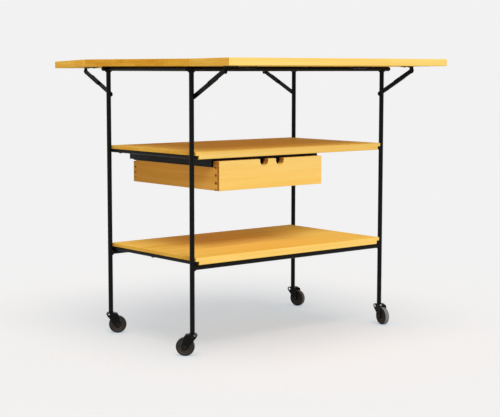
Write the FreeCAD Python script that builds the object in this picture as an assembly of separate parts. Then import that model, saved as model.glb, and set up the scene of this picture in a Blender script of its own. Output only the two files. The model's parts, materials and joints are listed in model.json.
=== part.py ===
import FreeCAD, Part
import math
import os

# Drop leaf tea trolley: a black round-tube frame on four swivel casters, two wooden shelves, a wooden
# top with a drop leaf on each long side, eight stay arms and a drawer hung under the middle shelf.
# Millimetres. X runs along the trolley, -Y is the drawer side, +Z is up, and the origin lies on the
# floor under the middle of the legs.

Vec = FreeCAD.Vector
X_AXIS = Vec(1, 0, 0)
Y_AXIS = Vec(0, 1, 0)
Z_AXIS = Vec(0, 0, 1)

# ---- driving dimensions ------------------------------------------------------------------------
HEIGHT = 762.0                 # floor to the top of the table top
LEG_SPACING_X = 680.0          # between leg centres, along the trolley
LEG_SPACING_Y = 378.0          # between leg centres, across the trolley
TOP_PAST_LEG_X = 44.0          # the top and the leaves, beyond the leg centres along X
TOP_PAST_LEG_Y = 52.5          # the centre panel, beyond the leg centres along Y
LEAF_WIDTH = 154.0             # one leaf, from the joint to its free edge
BOARD = 19.0                   # thickness of the top, the leaves and the shelves
EDGE_ROUND = 1.2               # softened edges of the boards
LEAF_JOINT = 1.0               # gap between the centre panel and a leaf
REAR_LEAF_SAG = 2.0            # degrees that the opened rear leaf hangs below level
FRONT_LEAF_RISE = 0.7          # degrees that the opened front leaf stands above level

TUBE_R = 6.35                  # legs and long rails
TUBE_WALL = 1.5
END_RAIL_R = 4.75              # the thinner bars that carry the ends of the shelves
RAIL_PAST_LEG_LEFT = 21.0      # the top rails run on past the left legs
RAIL_PAST_LEG_RIGHT = 31.0     # and past the right legs
RAIL_END_ROUND = 4.0

LOWER_SHELF_Z = 235.0          # undersides of the two shelves
MIDDLE_SHELF_Z = 507.0
SHELF_EDGE_PAST_LEG = 6.0      # shelf edge beyond the leg centres, along Y
SHELF_END_GAP = 2.0            # between a shelf end and the legs
RABBET_GAP = 0.3               # between an end rail and its rabbet, above
RABBET_WALL_GAP = 2.6          # and beside it

SHELF_SCREW_INSET = 45.0       # the middle shelf's screws, from the ends of an end rail
SHELF_SCREW_SKIN = 2.5         # wood above the screws of the shelves
TOP_SCREW_INSET = 70.0         # the outer screws of a top rail, inwards from the legs
SCREW_SHANK_R = 2.0
SCREW_HEAD_R = 4.0
SCREW_HEAD_H = 2.6
TOP_SCREW_BITE = 10.0          # length in the wood of the top
SCREW_HOLE_GAP = 0.15          # around the shank in steel
HEAD_ROUND = 0.7               # of a head's height, rounded off
CUT_PAST = 1.0                 # cutters run this far past the faces that they open
SCREW_SEAT = 1.0               # the heads are let this far into the thinner bars

SMALL_SHANK_R = 1.5
SMALL_HEAD_R = 2.8
SMALL_HEAD_H = 1.4
SMALL_BITE = 9.0

HINGE_X = 200.0                # hinges left and right of the middle
HINGE_LENGTH = 50.0
HINGE_LEAF_DEPTH = 24.0
HINGE_PLATE = 1.2
KNUCKLE_R = 2.7
KNUCKLE_SEAT = 0.3             # between a knuckle and the boards
KNUCKLE_END_GAP = 0.3
HINGE_PIN_R = 1.2
PIN_CLEARANCE = 0.05
HINGE_SCREW_SPREAD = 18.0
HINGE_SCREW_INSET = 14.0       # from the pin line

STAY_LEG_PIVOT_DROP = 76.5     # below the underside of the top
STAY_LEAF_PIVOT_OUT = 74.5     # from the hinge line, along the leaf
STAY_LEAF_PIVOT_DROP = 11.0    # below the underside of the leaf
KNEE_SHARE = 0.5               # of the stay's length, from the leg pivot to the knee
ARM_WIDTH = 12.4
ARM_THICKNESS = 2.0
ARM_GAP = 0.3                  # between the two arms, and between an arm and its boss or tab
TONGUE_PAST_KNEE = 40.0        # the lower arm runs on beside the upper arm
BOSS_R = 5.0
BOSS_LENGTH = 0.6              # of the spacer between the leg and the lower arm
RIVET_R = 2.0
RIVET_HEAD_R = 4.2
RIVET_HEAD_H = 1.8
RIVET_HEAD_ROUND = 0.8         # of the head's height
BRACKET_PLATE = 2.0
BRACKET_WIDTH = 13.0
BRACKET_LENGTH = 37.0          # of the plate under the leaf, from the tab inwards
TAB_BELOW_PIVOT = 8.5
TAB_ROUND = 0.7                # of the height below the pivot
BRACKET_SCREW_NEAR = 10.5      # screw places, from the tab's outer face inwards
BRACKET_SCREW_FAR = 28.5

DRAWER_FROM_LEG = 84.0         # left side of the drawer, from the centres of the left legs
DRAWER_WIDTH = 359.0
DRAWER_BACK_SETBACK = 2.0      # back of the drawer inside the shelf's rear edge; the front is flush
DRAWER_FRONT_HEIGHT = 77.0
DRAWER_SIDE_HEIGHT = 60.0
DRAWER_BACK_DROP = 3.0         # top of the back below the top of the sides
DRAWER_FRONT_T = 18.0
DRAWER_SIDE_T = 12.0
DRAWER_BACK_T = 12.0
DRAWER_BOTTOM_T = 5.0
DRAWER_BOTTOM_UP = 6.0         # above the lower edges
GROOVE = 5.0
FRONT_LAP = 8.0                # wood of the front that hides the dovetails
DOVETAILS = 3
DOVETAIL_SLOPE = 0.16
DOVETAIL_ROOT = 0.27           # half of a tail's root, as a share of the tails' spacing
LUG_GAP = 0.5                  # between the front's lugs and the runners' ends
HANGER_LET_IN = 5.0            # the hanger's foot runs this far into the front
BOTTOM_SHORT = 1.0             # the bottom board stops short of the back of the sides
RUNNER_FOOT_GAP = 1.0          # between the runner and the hanger's foot, and beside the hanger's web
NOTCH_R = 14.0                 # two finger notches in the top edge of the front
NOTCH_DEPTH = 18.0
NOTCH_SPACING = 55.0

RUNNER_T = 2.0
RUNNER_TOP_FLANGE = 16.0
RUNNER_LEDGE = 14.5
RUNNER_HEIGHT = 22.0
RUNNER_SIDE_GAP = 4.0          # between the drawer's side and the runner's web
RUNNER_BACK_PAST_DRAWER = 10.0
RUNNER_FRONT_SETBACK = 25.0    # behind the drawer's front face
HANGER_T = 2.0
HANGER_LEDGE_GAP = 0.3         # between the hanger's flange and the ledge that it rides on
CROSSBAR_T = 3.0
CROSSBAR_FRONT_HEIGHT = 12.0
STOP_GAP = 0.3                 # between the closed drawer and the rear crossbar
RUNNER_SCREW_INSET = 34.0      # from the ends of a runner; one more screw is in the middle

WHEEL_R = 24.5
WHEEL_WIDTH = 15.0
WHEEL_HUB_R = 19.5
HUB_WEB_SINK = 2.2             # face of the wheel's disc below its rim
HUB_BOSS_R = 6.0
HUB_BOSS_SLOPE = 1.0           # the boss is this much wider at its root
HUB_RIM_W = 1.0                # width of the disc's rim
HUB_RIM_SLOPE = 0.5
HUB_BOSS_OUT = 1.4             # hub boss beyond the rim, each side
HUB_RING_R = 13.0              # raised ring on the disc
HUB_RING_W = 2.2
TYRE_ROUND = 2.5
TRAIL = 18.5                   # wheel axle behind the swivel axis
AXLE_R = 3.0
AXLE_HEAD_R = 4.6
AXLE_HEAD_H = 1.6
AXLE_CLEARANCE = 0.05
FORK_GAP = 2.0                 # between the wheel's rim and a fork plate
FORK_T = 1.8
CROWN_GAP = 7.7                # between the top of the wheel and the inside of the fork's crown
FORK_BOSS_R = 6.8
FORK_LOBE_R = 6.5              # of the curled eye opposite the wheel
FORK_LOBE_BACK = 5.5           # eye ahead of the swivel axis
FORK_EYE_R = 3.6
FORK_SHOULDER_OUT = 18.5
FORK_SHOULDER_R = 1.5
FORK_SHOULDER_DROP = 4.0
COLLAR_R = 6.2
COLLAR_HEIGHT = 2.0
COLLAR_GAP = 0.5               # between the swivel collar and the leg
SOCKET_WALL = 0.85             # of the bush in the leg, with the clearance of the stem in it
STEM_LENGTH = 30.0
SOCKET_LENGTH = 34.0
SWIVEL_CLEARANCE = 0.08

# Compass heading of each wheel from its leg, in degrees from +X towards +Y.
CASTER_HEADINGS = {"front_left": 136.0, "front_right": -100.0, "rear_left": -28.0, "rear_right": -79.0}

# ---- places worked out from them ---------------------------------------------------------------
LEG_X = LEG_SPACING_X / 2
LEG_Y = LEG_SPACING_Y / 2
TOP_LENGTH = LEG_SPACING_X + 2 * TOP_PAST_LEG_X
CENTRE_WIDTH = LEG_SPACING_Y + 2 * TOP_PAST_LEG_Y
FORK_TOP_Z = 2 * WHEEL_R + CROWN_GAP + FORK_T
LEG_FOOT_Z = FORK_TOP_Z + COLLAR_HEIGHT + COLLAR_GAP
BORE_R = TUBE_R - TUBE_WALL
STEM_R = BORE_R - SOCKET_WALL
TOP_UNDER = HEIGHT - BOARD
TOP_RAIL_Z = TOP_UNDER - TUBE_R
SHELF_Y = LEG_Y + SHELF_EDGE_PAST_LEG
SHELF_END_X = LEG_X - TUBE_R - SHELF_END_GAP
END_RAIL_X = LEG_X - TUBE_R - END_RAIL_R
RABBET_X = END_RAIL_X - END_RAIL_R - RABBET_WALL_GAP
JOINT_Y = CENTRE_WIDTH / 2 + LEAF_JOINT / 2
HINGE_PIN_Z = TOP_UNDER - KNUCKLE_R - KNUCKLE_SEAT
STAY_LEG_PIVOT_Z = TOP_UNDER - STAY_LEG_PIVOT_DROP
CORNERS = {"front_left": (-1, -1), "front_right": (1, -1), "rear_left": (-1, 1), "rear_right": (1, 1)}


# ---- small helpers -----------------------------------------------------------------------------
def box(x0, x1, y0, y1, z0, z1):
    """A block between two corners, given in any order."""
    low = Vec(min(x0, x1), min(y0, y1), min(z0, z1))
    return Part.makeBox(abs(x1 - x0), abs(y1 - y0), abs(z1 - z0), low)


def rod(start, direction, radius, length):
    return Part.makeCylinder(radius, length, start, direction)


def softened(solid, radius):
    """The solid with every edge rounded."""
    return solid.makeFillet(radius, solid.Edges)


def mirrored_x(shape, side):
    """The shape itself on the +X side, its mirror image on the -X side."""
    return shape if side > 0 else shape.mirror(Vec(0, 0, 0), X_AXIS)


def mirrored_y(shape, side):
    return shape if side > 0 else shape.mirror(Vec(0, 0, 0), Y_AXIS)


def save(name, solids):
    """Write one sub-part; a list is written as a group of separate solids."""
    shape = Part.makeCompound(solids) if isinstance(solids, list) else solids
    shape.exportStep("parts/" + name + ".step")


def domed_screw(x, y, z, shank_r, head_r, head_h, length):
    """A screw driven upwards: its domed head hangs below z and its shank rises from z."""
    shank = rod(Vec(x, y, z), Z_AXIS, shank_r, length)
    head = rod(Vec(x, y, z - head_h), Z_AXIS, head_r, head_h)
    lower_rim = [edge for edge in head.Edges if edge.BoundBox.ZMax < z - head_h / 2]
    head = head.makeFillet(head_h * HEAD_ROUND, lower_rim)
    return head.fuse(shank).removeSplitter()


def shank_hole(x, y, z, radius, length):
    return rod(Vec(x, y, z), Z_AXIS, radius, length)


def turned_about(shape, point, degrees):
    """The shape turned about the line through the point along X."""
    copy = shape.copy()
    copy.rotate(point, X_AXIS, degrees)
    return copy


# ---- frame -------------------------------------------------------------------------------------
def top_rail(side):
    """One long rail under the top, with rounded ends past the legs."""
    length = LEG_SPACING_X + RAIL_PAST_LEG_LEFT + RAIL_PAST_LEG_RIGHT
    start = Vec(-LEG_X - RAIL_PAST_LEG_LEFT, side * LEG_Y, TOP_RAIL_Z)
    rail = rod(start, X_AXIS, TUBE_R, length)
    rims = [edge for edge in rail.Edges if edge.BoundBox.XLength < RAIL_END_ROUND]
    return rail.makeFillet(RAIL_END_ROUND, rims)


def top_end_rail(side, long_rails):
    rail = rod(Vec(side * LEG_X, -LEG_Y, TOP_RAIL_Z), Y_AXIS, TUBE_R, LEG_SPACING_Y)
    return rail.cut(long_rails)


def leg(side_x, side_y, crossing):
    """A tube leg, shaped at the top to sit against the rails that cross it."""
    foot = Vec(side_x * LEG_X, side_y * LEG_Y, LEG_FOOT_Z)
    height = TOP_RAIL_Z - LEG_FOOT_Z
    tube = rod(foot, Z_AXIS, TUBE_R, height)
    bore = rod(foot, Z_AXIS, BORE_R, height - TUBE_R - TUBE_WALL)
    return tube.cut(bore).cut(crossing)


def lower_rail(side):
    """A long rail between two legs, under the edge of the lower shelf."""
    z = LOWER_SHELF_Z - TUBE_R
    rail = rod(Vec(-LEG_X, side * LEG_Y, z), X_AXIS, TUBE_R, LEG_SPACING_X)
    outlines = [rod(Vec(end * LEG_X, side * LEG_Y, LEG_FOOT_Z), Z_AXIS, TUBE_R, HEIGHT) for end in (-1, 1)]
    return rail.cut(outlines)


def end_rail_screws(shelf_z):
    """Places along Y: two screws in each end rail of the middle shelf, one in the lower shelf's."""
    if shelf_z == LOWER_SHELF_Z:
        return [0.0]
    spread = SHELF_Y - SHELF_SCREW_INSET
    return [-spread, spread]


def end_rail(side, shelf_z):
    """The bar inside a pair of legs that carries one end of a shelf."""
    rail = rod(Vec(side * END_RAIL_X, -SHELF_Y, shelf_z + END_RAIL_R), Y_AXIS, END_RAIL_R, 2 * SHELF_Y)
    for y in end_rail_screws(shelf_z):
        below = Vec(side * END_RAIL_X, y, shelf_z - CUT_PAST)
        rail = rail.cut(rod(below, Z_AXIS, SCREW_SHANK_R + SCREW_HOLE_GAP, 2 * (END_RAIL_R + CUT_PAST)))
        rail = rail.cut(rod(below, Z_AXIS, SCREW_HEAD_R + SCREW_HOLE_GAP, CUT_PAST + SCREW_SEAT))
    return rail


def shelf_screws(shelf_z):
    length = BOARD - SHELF_SCREW_SKIN - SCREW_SEAT
    return [domed_screw(side * END_RAIL_X, y, shelf_z + SCREW_SEAT, SCREW_SHANK_R, SCREW_HEAD_R,
                        SCREW_HEAD_H, length)
            for side in (-1, 1) for y in end_rail_screws(shelf_z)]


def shelf(shelf_z, screws):
    """A shelf board whose ends are rabbeted over the end rails."""
    board = softened(box(-SHELF_END_X, SHELF_END_X, -SHELF_Y, SHELF_Y, shelf_z, shelf_z + BOARD), EDGE_ROUND)
    for side in (-1, 1):
        rabbet = box(side * RABBET_X, side * LEG_X, -SHELF_Y - CUT_PAST, SHELF_Y + CUT_PAST,
                     shelf_z - CUT_PAST, shelf_z + 2 * END_RAIL_R + RABBET_GAP)
        board = board.cut(rabbet)
    return board.cut(screws)


def top_screw_places():
    return [TOP_SCREW_INSET - LEG_X, 0.0, LEG_X - TOP_SCREW_INSET]


def top_rail_screws():
    """Screws that hold the top, sunk in the undersides of the top rails."""
    screws = []
    for side in (-1, 1):
        for x in top_screw_places():
            seat_z = TOP_RAIL_Z - TUBE_R + SCREW_HEAD_H
            length = TOP_UNDER - seat_z + TOP_SCREW_BITE
            screws.append(domed_screw(x, side * LEG_Y, seat_z, SCREW_SHANK_R, SCREW_HEAD_R,
                                      SCREW_HEAD_H, length))
    return screws


def drilled_for_top_screws(rail, side):
    for x in top_screw_places():
        below = Vec(x, side * LEG_Y, TOP_RAIL_Z - TUBE_R - CUT_PAST)
        rail = rail.cut(rod(below, Z_AXIS, SCREW_SHANK_R + SCREW_HOLE_GAP, 2 * (TUBE_R + CUT_PAST)))
        rail = rail.cut(rod(below, Z_AXIS, SCREW_HEAD_R + SCREW_HOLE_GAP, CUT_PAST + SCREW_HEAD_H))
    return rail


# ---- hinges ------------------------------------------------------------------------------------
# A hinge is drawn for the rear joint (+Y) with its pin along X, then mirrored for the front.
def hinge_segments():
    """Three knuckles: the outer two on the fixed plate, the middle one on the leaf's plate."""
    third = HINGE_LENGTH / 3
    return [(-HINGE_LENGTH / 2, -third / 2 - KNUCKLE_END_GAP / 2, "fixed"),
            (-third / 2 + KNUCKLE_END_GAP / 2, third / 2 - KNUCKLE_END_GAP / 2, "moving"),
            (third / 2 + KNUCKLE_END_GAP / 2, HINGE_LENGTH / 2, "fixed")]


def hinge_screw_places(x, kind):
    way = -1 if kind == "fixed" else 1
    y = JOINT_Y + way * HINGE_SCREW_INSET
    return [(x - HINGE_SCREW_SPREAD, y), (x + HINGE_SCREW_SPREAD, y)]


def hinge_plate(x, kind):
    """One plate of a hinge with its knuckles, under the boards."""
    way = -1 if kind == "fixed" else 1
    clear = KNUCKLE_R + 2 * KNUCKLE_SEAT
    plate = box(x - HINGE_LENGTH / 2, x + HINGE_LENGTH / 2, JOINT_Y + way * clear,
                JOINT_Y + way * HINGE_LEAF_DEPTH, TOP_UNDER - HINGE_PLATE, TOP_UNDER)
    for start, end, owner in hinge_segments():
        if owner == kind:
            knuckle = rod(Vec(x + start, JOINT_Y, HINGE_PIN_Z), X_AXIS, KNUCKLE_R, end - start)
            bridge = box(x + start, x + end, JOINT_Y, JOINT_Y + way * (clear + HINGE_PLATE),
                         TOP_UNDER - HINGE_PLATE, TOP_UNDER - KNUCKLE_SEAT)
            plate = plate.fuse(bridge).fuse(knuckle)
    plate = plate.cut(rod(Vec(x - HINGE_LENGTH, JOINT_Y, HINGE_PIN_Z), X_AXIS,
                          HINGE_PIN_R + PIN_CLEARANCE, 2 * HINGE_LENGTH))
    for sx, sy in hinge_screw_places(x, kind):
        plate = plate.cut(shank_hole(sx, sy, TOP_UNDER - 2 * HINGE_PLATE, SMALL_SHANK_R + SCREW_HOLE_GAP,
                                     3 * HINGE_PLATE))
    return plate.removeSplitter()


def hinge_pin(x):
    return rod(Vec(x - HINGE_LENGTH / 2, JOINT_Y, HINGE_PIN_Z), X_AXIS, HINGE_PIN_R, HINGE_LENGTH)


def hinge_screws(x, kind):
    return [domed_screw(sx, sy, TOP_UNDER - HINGE_PLATE, SMALL_SHANK_R, SMALL_HEAD_R, SMALL_HEAD_H,
                        HINGE_PLATE + SMALL_BITE) for sx, sy in hinge_screw_places(x, kind)]


# ---- leaf stays --------------------------------------------------------------------------------
# Drawn for the rear right corner (+X, +Y) and mirrored. Each arm lies in its own plane beside the
# leg, counted inwards from the leg's centre along X. The upper arm lies inside the lower arm at the
# right end of the trolley (end 1) and outside it at the left end (end -1).
LOWER_PLANE = TUBE_R + BOSS_LENGTH + ARM_GAP


def upper_plane(end):
    return LOWER_PLANE + end * (ARM_THICKNESS + ARM_GAP)


def tab_plane(end):
    return upper_plane(end) + ARM_THICKNESS + ARM_GAP


def plane_x(distance):
    return LEG_X - distance


def hinge_point():
    return Vec(0, JOINT_Y, HINGE_PIN_Z)


def leg_pivot():
    return Vec(0, LEG_Y, STAY_LEG_PIVOT_Z)


def leaf_pivot(droop):
    """The stay's pivot on the leaf, with the leaf hanging by droop degrees."""
    level = Vec(0, JOINT_Y + STAY_LEAF_PIVOT_OUT, TOP_UNDER - STAY_LEAF_PIVOT_DROP)
    arm = level - hinge_point()
    angle = math.radians(-droop)
    turned = Vec(0, arm.y * math.cos(angle) - arm.z * math.sin(angle),
                 arm.y * math.sin(angle) + arm.z * math.cos(angle))
    return hinge_point() + turned


def along(start, end, distance):
    way = (end - start).normalize()
    return start + way * distance


def arm_bar(start, end, x_inner, x_outer):
    """A flat bar from start to end with round ends."""
    length = (end - start).Length
    half = ARM_WIDTH / 2
    bar = box(x_inner, x_outer, 0, length, -half, half)
    ends = [rod(Vec(x_inner, place, 0), X_AXIS, half, x_outer - x_inner) for place in (0, length)]
    bar = bar.fuse(ends).removeSplitter()
    way = end - start
    bar.rotate(Vec(0, 0, 0), X_AXIS, math.degrees(math.atan2(way.z, way.y)))
    bar.translate(Vec(0, start.y, start.z))
    return bar


def through(shape, point, radius):
    hole = rod(Vec(-LEG_X, point.y, point.z), X_AXIS, radius, 3 * LEG_X)
    return shape.cut(hole)


def rivet(point, head_from, head_way, shank_to):
    """A rivet along X: a domed head that starts at head_from and a shank that ends at shank_to."""
    tip = head_from + head_way * RIVET_HEAD_H
    head = rod(Vec(min(head_from, tip), point.y, point.z), X_AXIS, RIVET_HEAD_R, RIVET_HEAD_H)
    rim = [edge for edge in head.Edges if abs(edge.BoundBox.XMax - tip) < 0.01
           and edge.BoundBox.XLength < 0.01]
    head = head.makeFillet(RIVET_HEAD_H * RIVET_HEAD_ROUND, rim)
    shank = rod(Vec(min(head_from, shank_to), point.y, point.z), X_AXIS, RIVET_R, abs(shank_to - head_from))
    return head.fuse(shank).removeSplitter()


def knee_point(droop):
    start = leg_pivot()
    end = leaf_pivot(droop)
    return along(start, end, (end - start).Length * KNEE_SHARE)


def flat_arm(start, end, pivot, knee, plane):
    """An arm in its plane, bored for its pivot and for the knee."""
    arm = arm_bar(start, end, plane_x(plane + ARM_THICKNESS), plane_x(plane))
    return through(through(arm, pivot, RIVET_R + PIN_CLEARANCE), knee, RIVET_R)


def knee_rivet(knee, plane, way):
    """An arm's half of the knee rivet, with its head on the arm's outer (1) or inner (-1) face."""
    faces = {1: plane_x(plane), -1: plane_x(plane + ARM_THICKNESS)}
    return rivet(knee, faces[way], way, faces[-way])


def lower_arm(droop, end):
    """The arm on the leg, with its tongue past the knee, and its half of the knee rivet."""
    start, knee = leg_pivot(), knee_point(droop)
    tip = along(start, knee, (knee - start).Length + TONGUE_PAST_KNEE - ARM_WIDTH / 2)
    return [flat_arm(start, tip, start, knee, LOWER_PLANE), knee_rivet(knee, LOWER_PLANE, end)]


def upper_arm(droop, end):
    """The arm on the leaf, and its half of the knee rivet."""
    start, knee = leaf_pivot(droop), knee_point(droop)
    plane = upper_plane(end)
    return [flat_arm(start, knee, start, knee, plane), knee_rivet(knee, plane, -end)]


def stay_boss():
    """The spacer welded to the leg, and the rivet that the lower arm turns on."""
    pivot = leg_pivot()
    outer = plane_x(0)
    inner = plane_x(TUBE_R + BOSS_LENGTH)
    boss = rod(Vec(inner, pivot.y, pivot.z), X_AXIS, BOSS_R, outer - inner)
    boss = boss.cut(rod(Vec(LEG_X, LEG_Y, LEG_FOOT_Z), Z_AXIS, TUBE_R, HEIGHT))
    boss = through(boss, pivot, RIVET_R)
    head_from = plane_x(LOWER_PLANE + ARM_THICKNESS + PIN_CLEARANCE)
    return [boss, rivet(pivot, head_from, -1, plane_x(TUBE_R))]


def bracket_screw_places(end):
    y = JOINT_Y + STAY_LEAF_PIVOT_OUT
    return [(plane_x(tab_plane(end) + inset), y) for inset in (BRACKET_SCREW_NEAR, BRACKET_SCREW_FAR)]


def stay_bracket(end):
    """The angle under a level leaf: a plate with its outer end bent down as a tab for the pivot."""
    outer, inner = plane_x(tab_plane(end)), plane_x(tab_plane(end) + BRACKET_LENGTH)
    pivot_y = JOINT_Y + STAY_LEAF_PIVOT_OUT
    tab_z = TOP_UNDER - STAY_LEAF_PIVOT_DROP - TAB_BELOW_PIVOT
    y0, y1 = pivot_y - BRACKET_WIDTH / 2, pivot_y + BRACKET_WIDTH / 2
    plate = box(inner, outer, y0, y1, TOP_UNDER - BRACKET_PLATE, TOP_UNDER)
    tab = box(outer - BRACKET_PLATE, outer, y0, y1, tab_z, TOP_UNDER)
    corners = [edge for edge in tab.Edges if edge.BoundBox.ZMax < tab_z + 0.01
               and edge.BoundBox.XLength > BRACKET_PLATE / 2]
    tab = tab.makeFillet(TAB_BELOW_PIVOT * TAB_ROUND, corners)
    bracket = plate.fuse(tab).removeSplitter()
    bracket = through(bracket, Vec(0, pivot_y, TOP_UNDER - STAY_LEAF_PIVOT_DROP), RIVET_R)
    for x, y in bracket_screw_places(end):
        bracket = bracket.cut(shank_hole(x, y, TOP_UNDER - 2 * BRACKET_PLATE, SMALL_SHANK_R + SCREW_HOLE_GAP,
                                         3 * BRACKET_PLATE))
    return bracket


def leaf_rivet(end):
    """The rivet that joins the upper arm to the bracket's tab."""
    pivot = Vec(0, JOINT_Y + STAY_LEAF_PIVOT_OUT, TOP_UNDER - STAY_LEAF_PIVOT_DROP)
    head_from = plane_x(upper_plane(end) - PIN_CLEARANCE)
    return rivet(pivot, head_from, 1, plane_x(tab_plane(end) + BRACKET_PLATE))


def bracket_screws(end):
    return [domed_screw(x, y, TOP_UNDER - BRACKET_PLATE, SMALL_SHANK_R, SMALL_HEAD_R, SMALL_HEAD_H,
                        BRACKET_PLATE + SMALL_BITE) for x, y in bracket_screw_places(end)]


# ---- top and leaves ----------------------------------------------------------------------------
def leaf_board(screws):
    """A leaf, level, on the rear side."""
    inner = JOINT_Y + LEAF_JOINT / 2
    board = box(-TOP_LENGTH / 2, TOP_LENGTH / 2, inner, inner + LEAF_WIDTH, TOP_UNDER, HEIGHT)
    return softened(board, EDGE_ROUND).cut(screws)


def centre_panel(screws):
    half = CENTRE_WIDTH / 2
    board = box(-TOP_LENGTH / 2, TOP_LENGTH / 2, -half, half, TOP_UNDER, HEIGHT)
    return softened(board, EDGE_ROUND).cut(screws)


def build_leaf(name, side, droop):
    """Everything that moves with one leaf, drawn level at the rear and then hung and mirrored."""
    hinge_fixings = [screw for x in (-HINGE_X, HINGE_X) for screw in hinge_screws(x, "moving")]
    stay_fixings = [mirrored_x(screw, end) for end in (-1, 1) for screw in bracket_screws(end)]
    groups = {
        name + "_leaf": [leaf_board(hinge_fixings + stay_fixings)],
        name + "_leaf_hinge_plates": [hinge_plate(x, "moving") for x in (-HINGE_X, HINGE_X)],
        name + "_leaf_stay_brackets": [mirrored_x(solid, end) for end in (-1, 1)
                                       for solid in (stay_bracket(end), leaf_rivet(end))],
        name + "_leaf_screws": hinge_fixings + stay_fixings,
    }
    for node, solids in groups.items():
        save(node, [mirrored_y(turned_about(solid, hinge_point(), -droop), side) for solid in solids])
    for end, end_name in ((-1, "left"), (1, "right")):
        corner = name + "_" + end_name
        for part_name, solids in (("lower", lower_arm(droop, end)), ("upper", upper_arm(droop, end))):
            save("stay_" + part_name + "_arm_" + corner,
                 [mirrored_y(mirrored_x(solid, end), side) for solid in solids])


# ---- drawer ------------------------------------------------------------------------------------
DRAWER_LEFT = -LEG_X + DRAWER_FROM_LEG
DRAWER_RIGHT = DRAWER_LEFT + DRAWER_WIDTH
DRAWER_MIDDLE = (DRAWER_LEFT + DRAWER_RIGHT) / 2
DRAWER_FRONT_Y = -SHELF_Y
DRAWER_BACK_Y = SHELF_Y - DRAWER_BACK_SETBACK
RUNNER_TOP = MIDDLE_SHELF_Z
RUNNER_BOTTOM = RUNNER_TOP - RUNNER_HEIGHT
LEDGE_TOP = RUNNER_BOTTOM + RUNNER_T
HANGER_TOP = LEDGE_TOP + HANGER_LEDGE_GAP + HANGER_T
DRAWER_SIDE_TOP = RUNNER_BOTTOM - HANGER_T - RUNNER_FOOT_GAP
DRAWER_BOTTOM_Z = DRAWER_SIDE_TOP - DRAWER_SIDE_HEIGHT
DRAWER_BOARD_Z = DRAWER_BOTTOM_Z + DRAWER_BOTTOM_UP


def dovetails(x0, x1, root_y, tip_y, z0, z1):
    """Tails that widen from the root line to the tip line, spread over a height."""
    step = (z1 - z0) / DOVETAILS
    spread = abs(tip_y - root_y) * DOVETAIL_SLOPE
    tails = []
    for number in range(DOVETAILS):
        middle = z0 + step * (number + 0.5)
        root = step * DOVETAIL_ROOT
        outline = [Vec(x0, root_y, middle - root), Vec(x0, tip_y, middle - root - spread),
                   Vec(x0, tip_y, middle + root + spread), Vec(x0, root_y, middle + root)]
        face = Part.Face(Part.makePolygon(outline + outline[:1]))
        tails.append(face.extrude(Vec(x1 - x0, 0, 0)))
    return tails


def bottom_board():
    return box(DRAWER_LEFT + DRAWER_SIDE_T - GROOVE, DRAWER_RIGHT - DRAWER_SIDE_T + GROOVE,
               DRAWER_FRONT_Y + DRAWER_FRONT_T - GROOVE, DRAWER_BACK_Y - BOTTOM_SHORT,
               DRAWER_BOARD_Z, DRAWER_BOARD_Z + DRAWER_BOTTOM_T)


def drawer_side(x0, x1):
    """A side with tails into the front and through the back, grooved for the bottom; below the
    back it runs on to the drawer's rear."""
    front_root = DRAWER_FRONT_Y + DRAWER_FRONT_T
    back_root = DRAWER_BACK_Y - DRAWER_BACK_T
    side = box(x0, x1, front_root, back_root, DRAWER_BOTTOM_Z, DRAWER_SIDE_TOP)
    above_board = DRAWER_BOARD_Z + DRAWER_BOTTOM_T
    tails = dovetails(x0, x1, front_root, DRAWER_FRONT_Y + FRONT_LAP, DRAWER_BOTTOM_Z, DRAWER_SIDE_TOP)
    tails += dovetails(x0, x1, back_root, DRAWER_BACK_Y, above_board, DRAWER_SIDE_TOP - DRAWER_BACK_DROP)
    heel = box(x0, x1, back_root, DRAWER_BACK_Y, DRAWER_BOTTOM_Z, above_board)
    return side.fuse(tails + [heel]).removeSplitter().cut(bottom_board())


def finger_notch(x):
    top = DRAWER_BOTTOM_Z + DRAWER_FRONT_HEIGHT
    y0, y1 = DRAWER_FRONT_Y - CUT_PAST, DRAWER_FRONT_Y + DRAWER_FRONT_T + CUT_PAST
    centre_z = top - NOTCH_DEPTH + NOTCH_R
    round_part = rod(Vec(x, y0, centre_z), Y_AXIS, NOTCH_R, y1 - y0)
    straight = box(x - NOTCH_R, x + NOTCH_R, y0, y1, centre_z, top + CUT_PAST)
    return round_part.fuse(straight)


def front_lug(edge_x, inward):
    """A corner of the front that reaches back over the hanger to the runner's end."""
    back = runner_span()[0] - LUG_GAP
    return box(edge_x, edge_x + inward * DRAWER_SIDE_T, DRAWER_FRONT_Y + DRAWER_FRONT_T / 2, back,
               DRAWER_SIDE_TOP + HANGER_T, DRAWER_BOTTOM_Z + DRAWER_FRONT_HEIGHT - EDGE_ROUND)


def drawer_front(sides, hangers):
    board = softened(box(DRAWER_LEFT, DRAWER_RIGHT, DRAWER_FRONT_Y, DRAWER_FRONT_Y + DRAWER_FRONT_T,
                         DRAWER_BOTTOM_Z, DRAWER_BOTTOM_Z + DRAWER_FRONT_HEIGHT), EDGE_ROUND / 2)
    lugs = [front_lug(edge, inward) for edge, inward in DRAWER_EDGES]
    notches = [finger_notch(DRAWER_MIDDLE + way * NOTCH_SPACING / 2) for way in (-1, 1)]
    return board.fuse(lugs).removeSplitter().cut(notches).cut(sides + hangers).cut(bottom_board())


def drawer_back(sides):
    board = box(DRAWER_LEFT, DRAWER_RIGHT, DRAWER_BACK_Y - DRAWER_BACK_T, DRAWER_BACK_Y,
                DRAWER_BOARD_Z + DRAWER_BOTTOM_T, DRAWER_SIDE_TOP - DRAWER_BACK_DROP)
    return board.cut(sides)


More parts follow.
